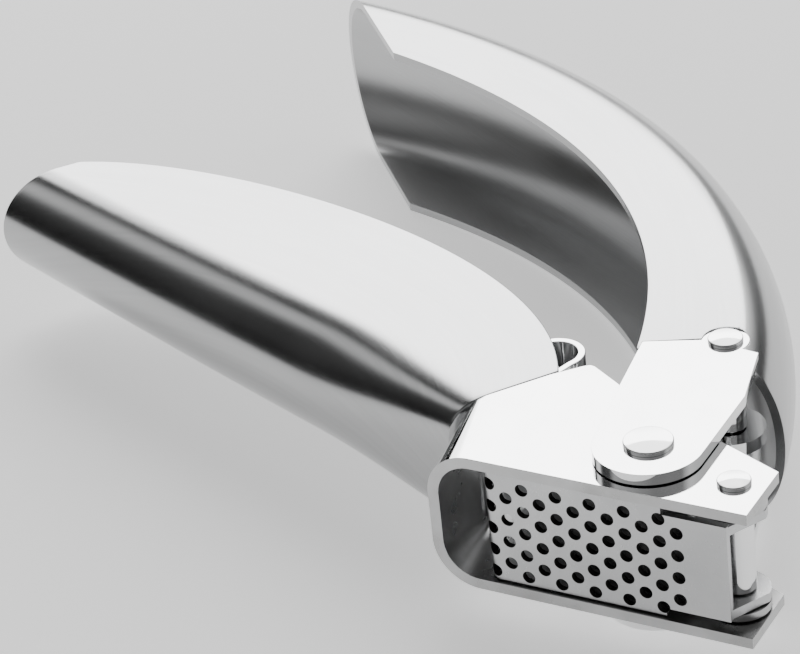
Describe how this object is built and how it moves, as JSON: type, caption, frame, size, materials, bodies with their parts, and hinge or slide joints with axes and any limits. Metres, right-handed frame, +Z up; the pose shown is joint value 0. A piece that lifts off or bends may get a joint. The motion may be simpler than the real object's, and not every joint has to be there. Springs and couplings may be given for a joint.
{
  "type": "garlic press",
  "caption": "Stainless garlic press lying open on its side, with channel-shaped handles, a box head, a swing-out sieve and a hinged plunger driven by a link.",
  "frame": {"origin": "bottom centre of the bounding box of the opened press as it lies on its side", "axes": "+Z is up and runs along all the pivots, +X runs along the sieve towards the front hinge, +Y points away from the sieve"},
  "size_m": [0.1996, 0.1686, 0.0392],
  "materials": {
    "satin_steel": "satin brushed along the handles",
    "polished_steel": "mirror polished",
    "sieve_steel": "fine satin"
  },
  "bodies": {
    "lower_handle": {"lower_handle_shell": "satin_steel", "head_frame": "polished_steel", "throat_guard": "polished_steel", "front_rivet": "polished_steel", "front_spacer": "polished_steel"},
    "upper_handle": {"upper_handle_shell": "satin_steel", "head_plate_top": "polished_steel", "head_plate_bottom": "polished_steel", "main_rivet_top": "polished_steel", "main_rivet_bottom": "polished_steel", "drive_pin": "polished_steel", "drive_spacer_upper": "polished_steel", "drive_spacer_lower": "polished_steel"},
    "link": {"drive_link": "polished_steel"},
    "plunger": {"plunger_channel": "polished_steel", "link_pin": "polished_steel", "link_spacer_upper": "polished_steel", "link_spacer_lower": "polished_steel"},
    "sieve": {"sieve_plate": "sieve_steel"}
  },
  "joints": [
    {"name": "main_hinge", "type": "hinge", "parent": "lower_handle", "child": "upper_handle", "pos_m": [0.0765, -0.07265, 0.0196], "axis": [0, 0, 1], "range_deg": [0, 31]},
    {"name": "plunger_hinge", "type": "hinge", "parent": "lower_handle", "child": "plunger", "pos_m": [0.0939, -0.07575, 0.0196], "axis": [0, 0, 1], "range_deg": [0, 17.1]},
    {"name": "link_hinge", "type": "hinge", "parent": "upper_handle", "child": "link", "pos_m": [0.07545, -0.0359, 0.0196], "axis": [0, 0, 1], "range_deg": [0, 1.5]},
    {"name": "sieve_hinge", "type": "hinge", "parent": "lower_handle", "child": "sieve", "pos_m": [0.0939, -0.07575, 0.0196], "axis": [0, 0, 1], "range_deg": [0, 95]}
  ],
  "couplings": [
    {"joint": "plunger_hinge", "follows": "main_hinge", "ratio": 0.5506},
    {"joint": "link_hinge", "follows": "main_hinge", "ratio": 0.0461}
  ]
}
